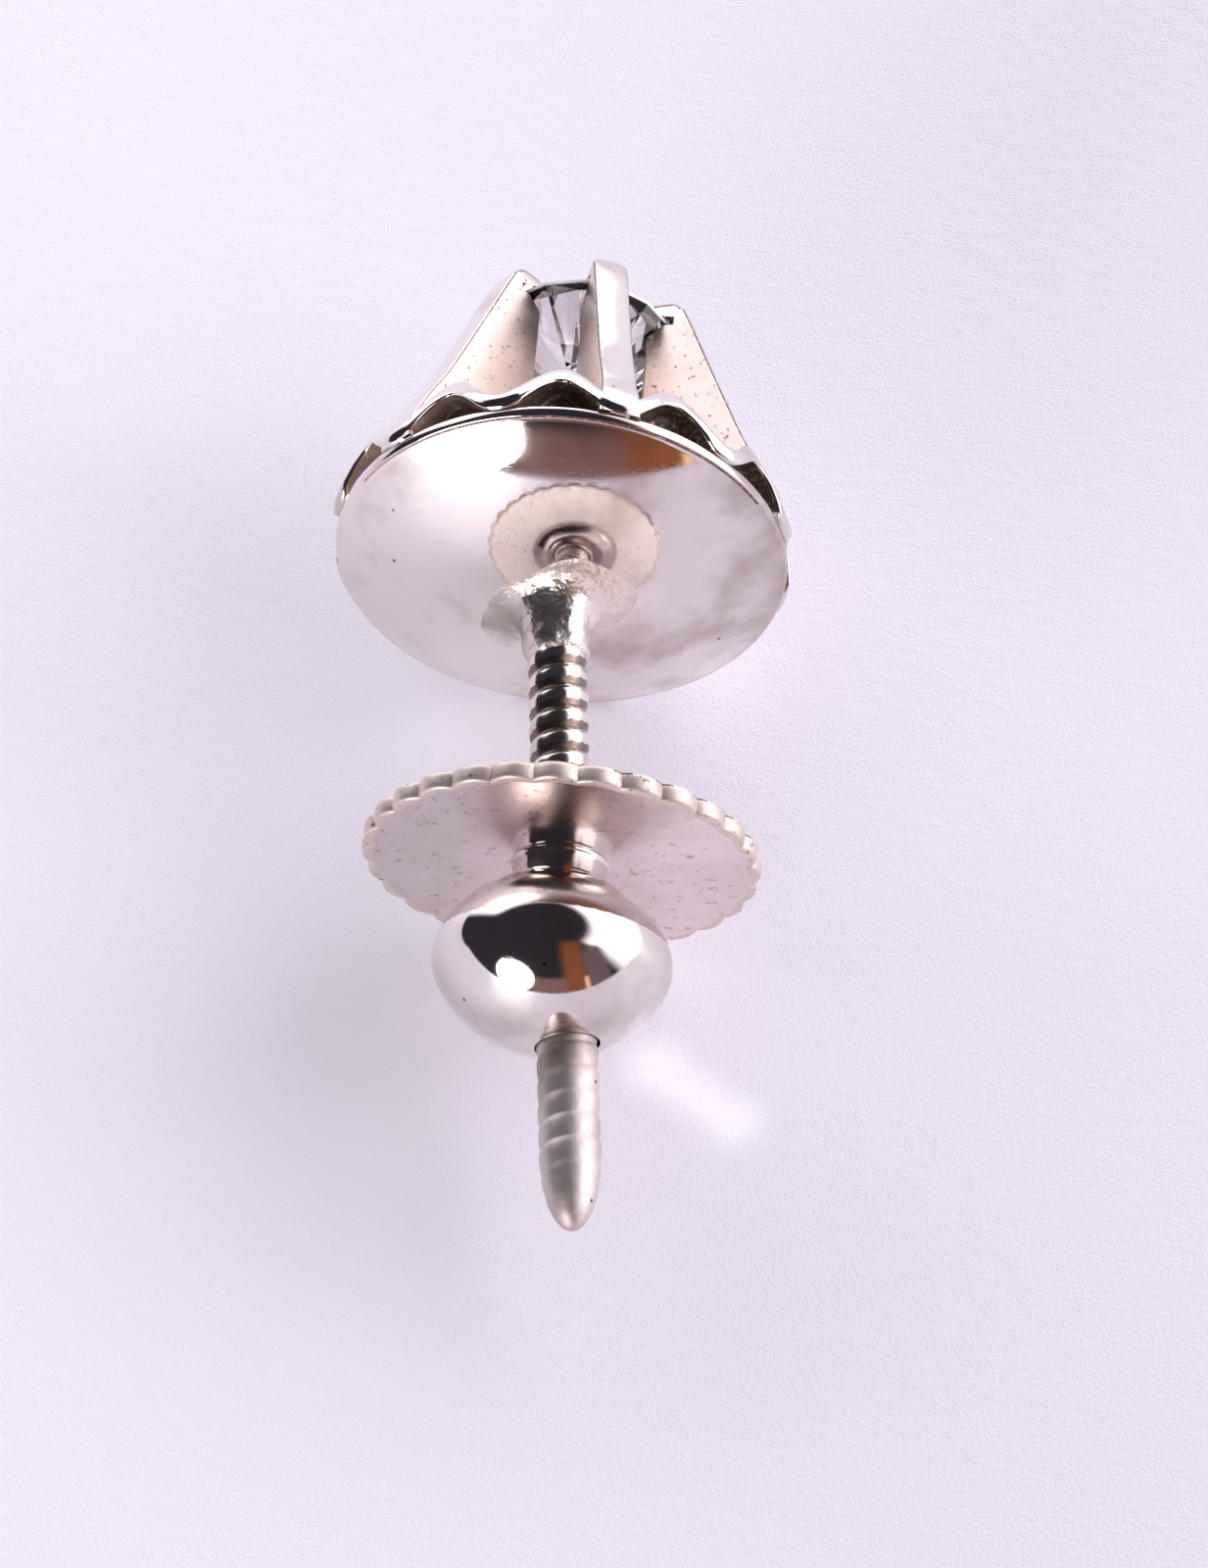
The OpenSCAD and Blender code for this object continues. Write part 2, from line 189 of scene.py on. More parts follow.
def pressed_board():
    """Pressed fibre board: matt, with a soft low relief. It has a painted glow, which stands in for the
    light its fibres pass on inside it and lightens the shadows on it, a little stronger to the left and in
    spots of thrown light."""
    material, tree, place = new_material("pressed_board")
    laid = add(tree, "Mapping", {"Vector": place, "Rotation": (0.0, 0.0, 0.6), "Scale": (0.45, 1.0, 1.0)})
    fibre = add(
        tree,
        "TexNoise",
        {"Vector": laid.outputs[0], "Scale": 1 / BOARD_FIBRE, "Detail": 5.0, "Roughness": 0.6},
    )
    grain = add(tree, "TexNoise", {"Vector": place, "Scale": 1 / BOARD_GRAIN, "Detail": 2.0})
    height = add(tree, "Math", {0: fibre.outputs[0], 1: grain.outputs[0]}, operation="ADD")
    relief = add(
        tree, "Bump", {"Height": height.outputs[0], "Distance": BOARD_RELIEF * MM, "Strength": 1.0}
    )
    # Painted light: the board's glow, a little stronger to the left
    from_middle = add(tree, "SeparateXYZ", {0: place}).outputs[0]
    glow = add(
        tree,
        "MapRange",
        {
            "Value": from_middle,
            "From Min": -SIDE_REACH,
            "From Max": SIDE_REACH,
            "To Min": BOARD_GLOW + SIDE_GLOW,
            "To Max": BOARD_GLOW - SIDE_GLOW,
        },
    ).outputs[0]
    # Painted spots of light where the nut throws the window's light
    for (x, y), radius, strength in THROWN_LIGHT:
        away = add(tree, "VectorMath", {0: place, 1: (x, y, 0)}, operation="DISTANCE").outputs["Value"]
        spot = add(
            tree,
            "MapRange",
            {"Value": away, "From Min": radius, "From Max": 0.0, "To Max": strength},
            interpolation_type="SMOOTHSTEP",
        ).outputs[0]
        glow = add(tree, "Math", {0: glow, 1: spot}, operation="ADD").outputs[0]
    finish_material(
        tree,
        Base_Color=linear(BOARD_COLOUR),
        Roughness=0.5,
        Normal=relief.outputs[0],
        Emission_Color=linear(BOARD_COLOUR),
        Emission_Strength=glow,
    )
    return material


table_mesh = bpy.data.meshes.new("table")
table_corners = [(x * BOARD_HALF, y * BOARD_HALF, 0) for x, y in ((-1, -1), (1, -1), (1, 1), (-1, 1))]
table_mesh.from_pydata(table_corners, [], [(0, 1, 2, 3)])
table_mesh.materials.append(pressed_board())
table = bpy.data.objects.new("table", table_mesh)
bpy.context.scene.collection.objects.link(table)

# The studio
# A dark room that the polished metal mirrors, with the soft light of large windows to the right
# and behind the stud, a small bright window in front to the left, and brown wood to the right.
ROOM_DARK = "322F36"
BACKDROP = "F6EFFC"
# Azimuth from the camera's side, to the right, and elevation of a card's middle, its half width
# and half height and its soft edge, all in degrees; then its colour and strength
ROOM_CARDS = [
    (102, 26, 50, 29, 12, "FBF8FF", 2.0),
    (180, 20, 48, 22, 14, "FBF8FF", 2.4),
    (-4, 4, 15, 10, 5, "8A6A68", 1.0),
    (17, 20, 9, 26, 11, "92593C", 1.0),
    (25.5, 5, 2, 6, 2, "FFCB9C", 1.2),
    (36, 14, 9, 20, 6, "75636A", 1.0),
]
# Azimuth, elevation, distance, width and height in millimetres, strength in watts
LAMPS = [
    ("lamp_right", 88, 22, 400, 120, 160, 0.18),
    ("window_left", -34, 10, 300, 170, 130, 0.4),
]

world = bpy.data.worlds.new("studio")
bpy.context.scene.world = world
world.use_nodes = True
sky = world.node_tree
sky.nodes.clear()
look = add(sky, "TexCoord").outputs["Generated"]
light = linear(ROOM_DARK)[:3]
for azimuth, elevation, half_w, half_h, soft, colour, strength in ROOM_CARDS:
    middle = toward(azimuth, elevation)
    right = toward(azimuth + 90, 0)
    top = middle.cross(-right)
    ahead = add(sky, "VectorMath", {0: look, 1: middle}, operation="DOT_PRODUCT").outputs["Value"]
    aside = add(sky, "VectorMath", {0: look, 1: right}, operation="DOT_PRODUCT").outputs["Value"]
    above = add(sky, "VectorMath", {0: look, 1: top}, operation="DOT_PRODUCT").outputs["Value"]
    turned = add(sky, "Math", {0: aside, 1: ahead}, operation="ARCTAN2").outputs[0]
    raised = add(sky, "Math", {0: above}, operation="ARCSINE").outputs[0]
    cover = []
    for angle, half in ((turned, half_w), (raised, half_h)):
        size = add(sky, "Math", {0: angle}, operation="ABSOLUTE").outputs[0]
        cover.append(add(
            sky,
            "MapRange",
            {
                "Value": size,
                "From Min": math.radians(half + soft / 2),
                "From Max": math.radians(half - soft / 2),
            },
            interpolation_type="SMOOTHSTEP",
        ).outputs[0])
    mask = add(sky, "Math", {0: cover[0], 1: cover[1]}, operation="MULTIPLY").outputs[0]
    card = Vector(linear(colour)[:3]) * strength
    light = add(sky, "Mix", {0: mask, 4: light, 5: card}, data_type="VECTOR").outputs[1]
seen = add(sky, "LightPath").outputs["Is Camera Ray"]
shown = add(sky, "Mix", {0: seen, 4: light, 5: linear(BACKDROP)[:3]}, data_type="VECTOR").outputs[1]
backdrop = add(sky, "Background", {"Color": shown})
add(sky, "OutputWorld", {"Surface": backdrop.outputs[0]})

for name, azimuth, elevation, distance, width, height, watts in LAMPS:
    bulb = bpy.data.lights.new(name, "AREA")
    bulb.shape = "ELLIPSE"
    bulb.size = width * MM
    bulb.size_y = height * MM
    bulb.energy = watts
    lamp = bpy.data.objects.new(name, bulb)
    lamp.location = rim_middle + toward(azimuth, elevation) * distance * MM
    lamp.rotation_mode = "QUATERNION"
    lamp.rotation_quaternion = toward(azimuth, elevation).to_track_quat("Z", "Y")
    lamp.visible_camera = False
    bpy.context.scene.collection.objects.link(lamp)

# Back plate
# A disc of white gold pressed to a shallow dome and polished like a mirror, with a thin rounded
# lip round its rim. The crown's band is soldered on its hollow side and the ear post on its back.
PLATE_R = 3.79
DOME_R = 7.0
PLATE_T = 0.5
LIP_H = 0.14
DOME_ENDS_R = 3.7
GROOVE_ENDS_R = 3.74
# Where the groove gets the dark recess metal, as shares of the way round
GROOVE_DARK = (0.58, 0.92)
AROUND = 288
GOLD_WHITE = "E9E2DE"
GOLD_WARM = "CDBFB9"
# Millimetres across a smudge, a lump and a grain of grit, and from pit to pit
SMUDGE = 1.8
LUMP = 0.22
GRIT = 0.07
PIT_SPACING = 0.45
# The share of places for a pit that stay without one
PIT_FREE = 0.74
# Real hairlines are narrower, and are drawn this wide so that they show
HAIRLINE = 0.02
HAIRLINE_DEPTH = 0.00012


def eased(outline, radii, steps=4, closed=True):
    """The outline with each corner turned into a short curve that starts this far from it, and
    no farther than nearly half way to the next corner."""
    count = len(outline)
    radii = radii if hasattr(radii, "__len__") else [radii] * count
    made = []
    for i, corner in enumerate(outline):
        corner = np.array(corner, float)
        if radii[i] == 0 or not closed and i in (0, count - 1):
            made.append(tuple(corner))
            continue
        before = np.array(outline[i - 1], float) - corner
        after = np.array(outline[(i + 1) % count], float) - corner
        start = corner + before * min(0.45, radii[i] / max(np.linalg.norm(before), 1e-9))
        end = corner + after * min(0.45, radii[i] / max(np.linalg.norm(after), 1e-9))
        for t in np.linspace(0, 1, steps):
            made.append(tuple((1 - t) ** 2 * start + 2 * t * (1 - t) * corner + t * t * end))
    return made


def skin(name, rings, place, closed=False, sharp=35, slot_of=None):
    """A piece whose skin runs over rings of points. A closed one joins its last ring to its first."""
    count, around = len(rings), len(rings[0])
    points = np.asarray(rings, float).reshape(-1, 3)
    matrix = np.array(place)
    points = points @ matrix[:3, :3].T + matrix[:3, 3]
    faces = []
    slots = []
    for k in range(count if closed else count - 1):
        low, high = k * around, (k + 1) % count * around
        for j in range(around):
            after = (j + 1) % around
            faces.append((low + j, low + after, high + after, high + j))
            slots.append(slot_of(k, j) if slot_of else 0)
    mesh = bpy.data.meshes.new(name)
    mesh.from_pydata(points.tolist(), [], faces)
    mesh.polygons.foreach_set("material_index", slots)
    shell = bmesh.new()
    shell.from_mesh(mesh)
    bmesh.ops.remove_doubles(shell, verts=shell.verts, dist=1e-8)
    bmesh.ops.recalc_face_normals(shell, faces=shell.faces)
    shell.to_mesh(mesh)
    shell.free()
    mesh.shade_smooth()
    mesh.set_sharp_from_angle(angle=math.radians(sharp))
    piece = bpy.data.objects.new(name, mesh)
    bpy.context.scene.collection.objects.link(piece)
    return piece


def turned_rings(outline, around=AROUND):
    """The rings of a turned piece, from its outline of radius and height."""
    turns = [2 * math.pi * i / around for i in range(around)]
    return [[(r * math.cos(a), r * math.sin(a), h) for a in turns] for r, h in outline]


def fit(piece, materials, body, node):
    """Gives a piece its materials, hangs it on the body it rides on, and hides the CAD node it stands for.
    """
    for material in materials:
        piece.data.materials.append(material)
    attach(piece, body)
    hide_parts(node)


def polished_white_gold(name, clean=GOLD_WHITE, worn=GOLD_WARM, rough=0.05, lumps=0.0, side=0.0, shift=0.0):
    """Polished white gold: a near mirror with fine hairlines, smudges, and a few dark pits. Lumps
    is how high it swells, side how much, for each millimetre to the right, the smudges' darker colour
    spreads as painted shade, and shift picks their pattern."""
    material, tree, place = new_material(name)
    moved = add(tree, "VectorMath", {0: place, 1: (shift, shift, shift)}, operation="ADD").outputs[0]
    cloud = add(tree, "TexNoise", {"Vector": moved, "Scale": 1 / SMUDGE, "Detail": 4.0, "Roughness": 0.55})
    # Painted shade: side spreads the smudges' darker colour towards the right.
    from_left = add(tree, "SeparateXYZ", {0: place}).outputs[0]
    smudge_and_shade_level = add(tree, "Math", {0: from_left, 1: side, 2: cloud.outputs[0]}, operation="MULTIPLY_ADD")
    smudge_and_shade = add(
        tree,
        "MapRange",
        {"Value": smudge_and_shade_level.outputs[0], "From Min": 0.42, "From Max": 0.72},
        interpolation_type="SMOOTHSTEP",
    )
    metal = add(
        tree, "Mix", {0: smudge_and_shade.outputs[0], 6: linear(clean), 7: linear(worn)}, data_type="RGBA"
    )
    spots = add(
        tree, "TexVoronoi", {"Vector": place, "Scale": 1 / PIT_SPACING, "Randomness": 1.0}, feature="F1"
    )
    pit = add(
        tree,
        "MapRange",
        {"Value": spots.outputs["Distance"], "From Min": 0.1, "From Max": 0.04},
        interpolation_type="SMOOTHSTEP",
    )
    chosen = add(tree, "SeparateColor", {0: spots.outputs["Color"]})
    rare = add(tree, "Math", {0: chosen.outputs[0], 1: PIT_FREE}, operation="GREATER_THAN")
    pits = add(tree, "Math", {0: pit.outputs[0], 1: rare.outputs[0]}, operation="MULTIPLY")
    base = add(
        tree, "Mix", {0: pits.outputs[0], 6: metal.outputs[2], 7: linear("5A4E4C")}, data_type="RGBA"
    )
    grooves = []
    for turn in ((0.4, 0.2, 0.9), (1.2, 0.7, -0.5)):
        ruled = add(tree, "Mapping", {"Vector": place, "Rotation": turn, "Scale": (0.06, 1.0, 1.0)})
        lines = add(
            tree,
            "TexNoise",
            {"Vector": ruled.outputs[0], "Scale": 1 / HAIRLINE, "Detail": 1.0, "Roughness": 0.4},
        )
        groove = add(tree, "MapRange", {"Value": lines.outputs[0], "From Min": 0.62, "From Max": 0.78})
        grooves.append(groove.outputs[0])
    crossed = add(tree, "Math", {0: grooves[0], 1: grooves[1]}, operation="ADD").outputs[0]
    deep = add(tree, "Math", {0: pits.outputs[0], 1: 6.0, 2: crossed}, operation="MULTIPLY_ADD")
    relief = add(
        tree,
        "Bump",
        {"Height": deep.outputs[0], "Distance": HAIRLINE_DEPTH * MM, "Strength": 1.0},
        invert=True,
    )
    swell = add(tree, "TexNoise", {"Vector": place, "Scale": 1 / LUMP, "Detail": 2.0, "Roughness": 0.5})
    uneven = add(
        tree,
        "Bump",
        {"Height": swell.outputs[0], "Distance": lumps * MM, "Strength": 1.0, "Normal": relief.outputs[0]},
    )
    gloss = add(tree, "Math", {0: smudge_and_shade.outputs[0], 1: 0.08, 2: rough}, operation="MULTIPLY_ADD")
    finish_material(
        tree,
        Base_Color=base.outputs[2],
        Metallic=1.0,
        Roughness=gloss.outputs[0],
        Normal=uneven.outputs[0],
    )
    return material


def grime_and_shade_white_gold(name):
    """Cast white gold left rough in the recesses, dark with polishing grime that still sparkles. Its dark
    colour is partly painted shade in the recesses and gaps it lines, and painted light makes it lighter
    towards the left.
    """
    material, tree, place = new_material(name)
    grit = add(tree, "TexNoise", {"Vector": place, "Scale": 1 / GRIT, "Detail": 4.0, "Roughness": 0.7})
    clean = add(tree, "MapRange", {"Value": grit.outputs[0], "From Min": 0.5, "From Max": 0.68})
    from_left = add(tree, "SeparateXYZ", {0: place}).outputs[0]
    # Painted light: the dark colour turns lighter towards the left.
    painted_light_left = add(tree, "MapRange", {"Value": from_left, "From Min": -1.0, "From Max": -2.4}).outputs[0]
    grime_and_shade = add(tree, "Mix", {0: painted_light_left, 6: linear("57453D"), 7: linear("B89C90")}, data_type="RGBA")
    dirt_and_shade = add(
        tree, "Mix", {0: clean.outputs[0], 6: grime_and_shade.outputs[2], 7: linear("CDB5A3")}, data_type="RGBA"
    )
    metal = add(tree, "MapRange", {"Value": grit.outputs[0], "From Min": 0.42, "From Max": 0.6})
    relief = add(tree, "Bump", {"Height": grit.outputs[0], "Distance": 0.03 * MM, "Strength": 0.9})
    finish_material(
        tree,
        Base_Color=dirt_and_shade.outputs[2],
        Metallic=metal.outputs[0],
        Roughness=0.32,
        Normal=relief.outputs[0],
    )
    return material


mirror_gold = polished_white_gold("polished_white_gold")
recess_grime_and_shade_gold = grime_and_shade_white_gold("grime_and_shade_white_gold")

dome_middle = math.sqrt(DOME_R ** 2 - PLATE_R ** 2)
inner_r = DOME_R - PLATE_T
inner_ends_r = math.sqrt(inner_r ** 2 - (dome_middle - LIP_H) ** 2)
# From the middle of its back over the lip to the middle of its hollow side, radius and height
plate_outline = [
    (DOME_R * math.sin(a), dome_middle - DOME_R * math.cos(a))
    for a in np.linspace(0, math.asin(DOME_ENDS_R / DOME_R), 64)
]
plate_outline += eased(
    [
        plate_outline[-1],
        (3.722, -0.052),
        (3.77, -0.035),
        (PLATE_R, 0.03),
        (PLATE_R, LIP_H - 0.01),
        (3.72, LIP_H),
        (inner_ends_r + 0.04, LIP_H),
    ],
    [0, 0.015, 0.03, 0.04, 0.04, 0.03, 0.03],
    closed=False,
)[1:]
plate_outline += [
    (inner_r * math.sin(a), dome_middle - inner_r * math.cos(a))
    for a in np.linspace(math.asin(inner_ends_r / inner_r), 0, 40)
]
groove_rings = [k for k, (r, h) in enumerate(plate_outline) if DOME_ENDS_R < r < GROOVE_ENDS_R and h < 0]


def plate_slot(ring, side):
    """The upper part of the groove between the dome and its lip gets the dark recess metal."""
    start, end = GROOVE_DARK
    return 1 if ring in groove_rings and start < side / AROUND < end else 0


back_plate = skin("back_plate", turned_rings(plate_outline), crown_place, slot_of=plate_slot)
# Its right side is painted darker through side, as painted shade.
dome_gold = polished_white_gold("polished_dome_gold", "ECE4E0", "C4B6B1", side=0.022, shift=7.7)
fit(back_plate, [dome_gold, recess_grime_and_shade_gold], "head", "setting")

# Crown band
# A ribbon of white gold that waves up over twelve arched recesses, open to the back and closed
# behind by an inner wall. It was cast with the claws and is soldered to the plate at its feet.
ARCHES = 12
FOOT_R = 3.9
BAND_H = 1.17
VALLEY_H = 0.4
ARCH_H = 0.72
ARCH_POINT = 1.35
FOOT_H = 0.1
SUNK_H = -0.06
RECESS_R = FOOT_R - 0.52
BAND_INNER_R = RECESS_R - 0.26
BAND_TOP_W = 0.36
STEPS_PER_ARCH = 60
BAND_CORNER_STEPS = 5
# The corner of the band's section, counted from 0, where the recess wall starts
RECESS_CORNER = 5
# Height above the rim and radius of the band's outside there
BAND_SIDE = [(0, PLATE_R + 0.02), (0.1, 3.86), (0.25, 3.9), (0.5, 3.85), (0.75, 3.75), (1.25, 3.54)]


def band_section(turn):
    """The band's section at this angle as radius and height, its corners eased."""
    wave = (1 + math.cos(ARCHES * turn)) / 2
    low = FOOT_H + (ARCH_H - FOOT_H) * wave ** ARCH_POINT
    high = VALLEY_H + (BAND_H - VALLEY_H) * wave
    heights, radii = zip(*BAND_SIDE)
    at_low, at_middle, at_high = np.interp([low, (low + high) / 2, high], heights, radii)
    corners = [
        (at_low, low),
        (at_middle + 0.02, (low + high) / 2),
        (at_high, high),
        (at_high - BAND_TOP_W, high - 0.05),
        (BAND_INNER_R, SUNK_H),
        (RECESS_R, SUNK_H),
        (RECESS_R, low),
    ]
    return eased(corners, [0.07, 0.06, 0.1, 0.08, 0.02, 0.02, 0.1], steps=BAND_CORNER_STEPS)


band_turns = [2 * math.pi * i / (ARCHES * STEPS_PER_ARCH) for i in range(ARCHES * STEPS_PER_ARCH)]
band_rings = [
    [(r * math.cos(a), r * math.sin(a), h) for r, h in band_section(a)] for a in band_turns
]


def band_slot(step, side):
    """Recess walls and the ribbon's underside get the dark recess metal, grime with painted shade, and the
    rest is polished.
    """
    return 1 if side >= RECESS_CORNER * BAND_CORNER_STEPS + 2 else 0


crown_band = skin("crown_band", band_rings, crown_place, closed=True, sharp=60, slot_of=band_slot)
fit(crown_band, [mirror_gold, recess_grime_and_shade_gold], "head", "setting")

# Claws
# Six tapering blades of white gold that stand on every second web of the band and lean in to the
# stone. Their outer edges are polished, their flat sides still show the file, and a notch cut
# near each rounded tip holds the girdle.
CLAWS = 6
CLAW_OFFSET = 15
CLAW_H = 5.43
CLAW_EASE = 0.09
CLAW_CORNER_STEPS = 5
TIP_HALF = 0.04
FILE_MARK = 0.045
FILED_CLOUD = 0.45
FILED_SPECK = 0.11
# A face that looks this far sideways is filed, and one that looks a little less is an edge given the dark
# recess metal
FILED_FACING = 0.93
EDGE_FACING = 0.7
SLICES_BETWEEN = 6
STONE_R = 1.6
STONE_GAP = 0.03
GIRDLE_HALF = 0.03
NOTCH_DEPTH = 0.12
NOTCH_HALF_H = 0.12
SEAT_EDGE = 0.06
SEAT_AROUND = 144
TABLE_SHARE = 0.56
PAVILION_SLOPE = math.tan(math.radians(40.8))
CROWN_SLOPE = math.tan(math.radians(34))
CROWN_RISE = STONE_R * (1 - TABLE_SHARE) * CROWN_SLOPE
# Height, radius of the outer edge, radius of the inner edge, half the width
CLAW_SLICES = [
    (0.12, 3.85, 3.4, 0.36),
    (0.4, 3.84, 3.18, 0.35),
    (0.7, 3.74, 2.55, 0.32),
    (1.0, 3.6, 1.65, 0.3),
    (1.35, 3.45, 1.25, 0.3),
    (2.0, 3.13, 1.25, 0.3),
    (3.0, 2.73, 1.25, 0.3),
    (4.0, 2.34, 1.25, 0.3),
    (CLAW_H - 0.45, 1.96, 1.25, 0.3),
    (CLAW_H - 0.25, 1.84, 1.25, 0.28),
    (CLAW_H - 0.1, 1.72, 1.28, 0.22),
    (CLAW_H - 0.02, 1.59, 1.35, 0.13),
    (CLAW_H, 1.48, 1.42, 0.06),
]


def smooth_rows(rows, between):
    """Rows of numbers with more rows put between them along a smooth curve."""
    rows = np.array(rows, float)
    padded = np.vstack([2 * rows[0] - rows[1], rows, 2 * rows[-1] - rows[-2]])
    made = []
    for i in range(1, len(rows)):
        a, b, c, d = padded[i - 1], padded[i], padded[i + 1], padded[i + 2]
        for t in np.arange(between) / between:
            made.append(0.5 * (
                2 * b
                + (c - a) * t
                + (2 * a - 5 * b + 4 * c - d) * t ** 2
                + (3 * b - a - 3 * c + d) * t ** 3
            ))
    made.append(rows[-1])
    return made


def close_ring(ring):
    """A ring shrunk to its own middle, which closes a piece's end."""
    middle = tuple(np.mean(ring, axis=0))
    return [middle] * len(ring)


def claw_rings(turn):
    """The rings of one claw, from its foot to its tip, turned to its place on the band."""
    rings = []
    for height, outer, inner, half in smooth_rows(CLAW_SLICES, SLICES_BETWEEN):
        half = max(half, TIP_HALF)
        corner = min(CLAW_EASE, half * 0.6)
        section = eased(
            [(outer, -half), (outer, half), (inner, half), (inner, -half)],
            [corner, corner, corner / 2, corner / 2],
            steps=CLAW_CORNER_STEPS,
        )
        rings.append([
            (x * math.cos(turn) - y * math.sin(turn), x * math.sin(turn) + y * math.cos(turn), height)
            for x, y in section
        ])
    return [close_ring(rings[0])] + rings + [close_ring(rings[-1])]


def filed_white_gold(name, clean="EEE0D8", worn="D4C2B9", rough=0.34, metal_share=1.0):
    """White gold smoothed with a file: a soft cream sheen with short scratches and dark specks."""
    material, tree, place = new_material(name)
    stroke = add(
        tree, "Mapping", {"Vector": place, "Rotation": (0.0, 0.35, 0.0), "Scale": (1.0, 0.12, 1.0)}
    )
    marks = add(
        tree,
        "TexNoise",
        {"Vector": stroke.outputs[0], "Scale": 1 / FILE_MARK, "Detail": 3.0, "Roughness": 0.6},
    )
    cloud = add(tree, "TexNoise", {"Vector": place, "Scale": 1 / FILED_CLOUD, "Detail": 3.0})
    specks = add(
        tree, "TexNoise", {"Vector": place, "Scale": 1 / FILED_SPECK, "Detail": 4.0, "Roughness": 0.65}
    )
    speck = add(
        tree,
        "MapRange",
        {"Value": specks.outputs[0], "From Min": 0.59, "From Max": 0.7},
        interpolation_type="SMOOTHSTEP",
    )
    metal = add(
        tree, "Mix", {0: cloud.outputs[0], 6: linear(clean), 7: linear(worn)}, data_type="RGBA"
    )
    base = add(
        tree, "Mix", {0: speck.outputs[0], 6: metal.outputs[2], 7: linear("6E6059")}, data_type="RGBA"
    )
    relief = add(tree, "Bump", {"Height": marks.outputs[0], "Distance": 0.002 * MM, "Strength": 1.0})
    finish_material(
        tree,
        Base_Color=base.outputs[2],
        Metallic=metal_share,
        Roughness=rough,
        Normal=relief.outputs[0],
    )
    return material


def stone_seat():
    """What the stone fills, with its clearance and the notch at its girdle, as one turned solid."""
    r = STONE_R + STONE_GAP
    outline = [
        (0, GIRDLE_H - GIRDLE_HALF - STONE_GAP - r * PAVILION_SLOPE),
        (r - SEAT_EDGE, GIRDLE_H - GIRDLE_HALF - STONE_GAP - SEAT_EDGE * PAVILION_SLOPE),
        (r + NOTCH_DEPTH, GIRDLE_H - NOTCH_HALF_H),
        (r + NOTCH_DEPTH, GIRDLE_H + NOTCH_HALF_H / 2),
        (r - SEAT_EDGE, GIRDLE_H + GIRDLE_HALF + STONE_GAP + SEAT_EDGE * CROWN_SLOPE),
        (r * TABLE_SHARE, GIRDLE_H + GIRDLE_HALF + STONE_GAP + CROWN_RISE),
        (0, GIRDLE_H + GIRDLE_HALF + STONE_GAP + CROWN_RISE),
    ]
    return skin("stone_seat", turned_rings(outline, SEAT_AROUND), crown_place)


def cut(piece, cutter):
    """Takes the cutter's shape out of the piece."""
    carve = piece.modifiers.new("cut", "BOOLEAN")
    carve.operation = "DIFFERENCE"
    carve.solver = "EXACT"
    carve.object = cutter
    shaped = piece.evaluated_get(bpy.context.evaluated_depsgraph_get())
    mesh = bpy.data.meshes.new_from_object(shaped)
    piece.modifiers.clear()
    piece.data = mesh
    mesh.set_sharp_from_angle(angle=math.radians(35))


filed_gold = filed_white_gold("filed_white_gold")
seat = stone_seat()
for number in range(CLAWS):
    turn = math.radians(CLAW_OFFSET - 90 + number * 360 / CLAWS)
    claw = skin(f"claw_{number + 1}", claw_rings(turn), crown_place)
    cut(claw, seat)
    sideways = (crown_place.to_3x3() @ Vector((-math.sin(turn), math.cos(turn), 0))).normalized()
    for face in claw.data.polygons:
        facing = abs(face.normal.dot(sideways))
        face.material_index = 1 if facing > FILED_FACING else 2 if facing > EDGE_FACING else 0
    fit(claw, [mirror_gold, filed_gold, recess_grime_and_shade_gold], "head", "setting")
bpy.data.objects.remove(seat)

# Ear post
# A white gold wire with a right-hand thread cut along it and a rounded nose, soldered to the
# dome in a small lumpy collar. It leans a little towards the table.
POST_R = 0.5
PITCH = 0.4
THREAD_FROM = 1.75
CREST_AT = 0.42
POST_FROM = 1.5
POST_L = 12.1
NOSE_L = 1.3
POST_AROUND = 72
STEPS_PER_PITCH = 16
# Radius, distance below the rim, and how far the ring follows the slope of the dome
COLLAR = [
    (1.3, 0.96, 1.0),
    (1.1, 1.035, 1.0),
    (0.92, 1.09, 1.0),
    (0.78, 1.17, 0.8),
    (0.69, 1.28, 0.5),
    (0.63, 1.42, 0.2),
    (0.6, 1.56, 0.0),
    (0.59, 1.72, 0.0),
    (0.55, 1.9, 0.0),
    (0.46, 2.03, 0.0),
]
THREAD_SHOWN = 0.055
# The part of each pitch that keeps the bright metal, from its start to its end; the rest, in the groove, is
# darkened with grime and painted shade
BRIGHT = (0.1, 0.75)
# From this depth on the thread is rubbed down by a share, which comes on over a short stretch
RUBBED_FROM = 8.8
RUB_BEFORE = 0.2
RUB_OVER = 0.6
RUBBED_SHARE = 0.5
# The thread fades out over so many degrees of the nose's curve
NOSE_FADE = 45
COLLAR_AROUND = 96


def crest(share):
    """How far the thread stands out, from 0 in the groove to 1 on the crest, over one pitch."""
    wave = share / (2 * CREST_AT) if share < CREST_AT else 0.5 + (share - CREST_AT) / (2 * (1 - CREST_AT))
    return 1 - (1 - math.sin(math.pi * wave)) ** 1.3


def post_ring(depth, squeeze=1.0, along=None, thread=1.0):
    """A ring of the threaded wire. Over the nose it is squeezed in and the thread fades."""
    along = depth if along is None else along
    ring = []
    for i in range(POST_AROUND):
        turn = 2 * math.pi * i / POST_AROUND
        share = ((along - THREAD_FROM) / PITCH + turn / (2 * math.pi)) % 1
        r = (POST_R - THREAD_SHOWN * thread * (1 - crest(share))) * squeeze
        ring.append((r * math.cos(turn), r * math.sin(turn), -depth))
    return ring


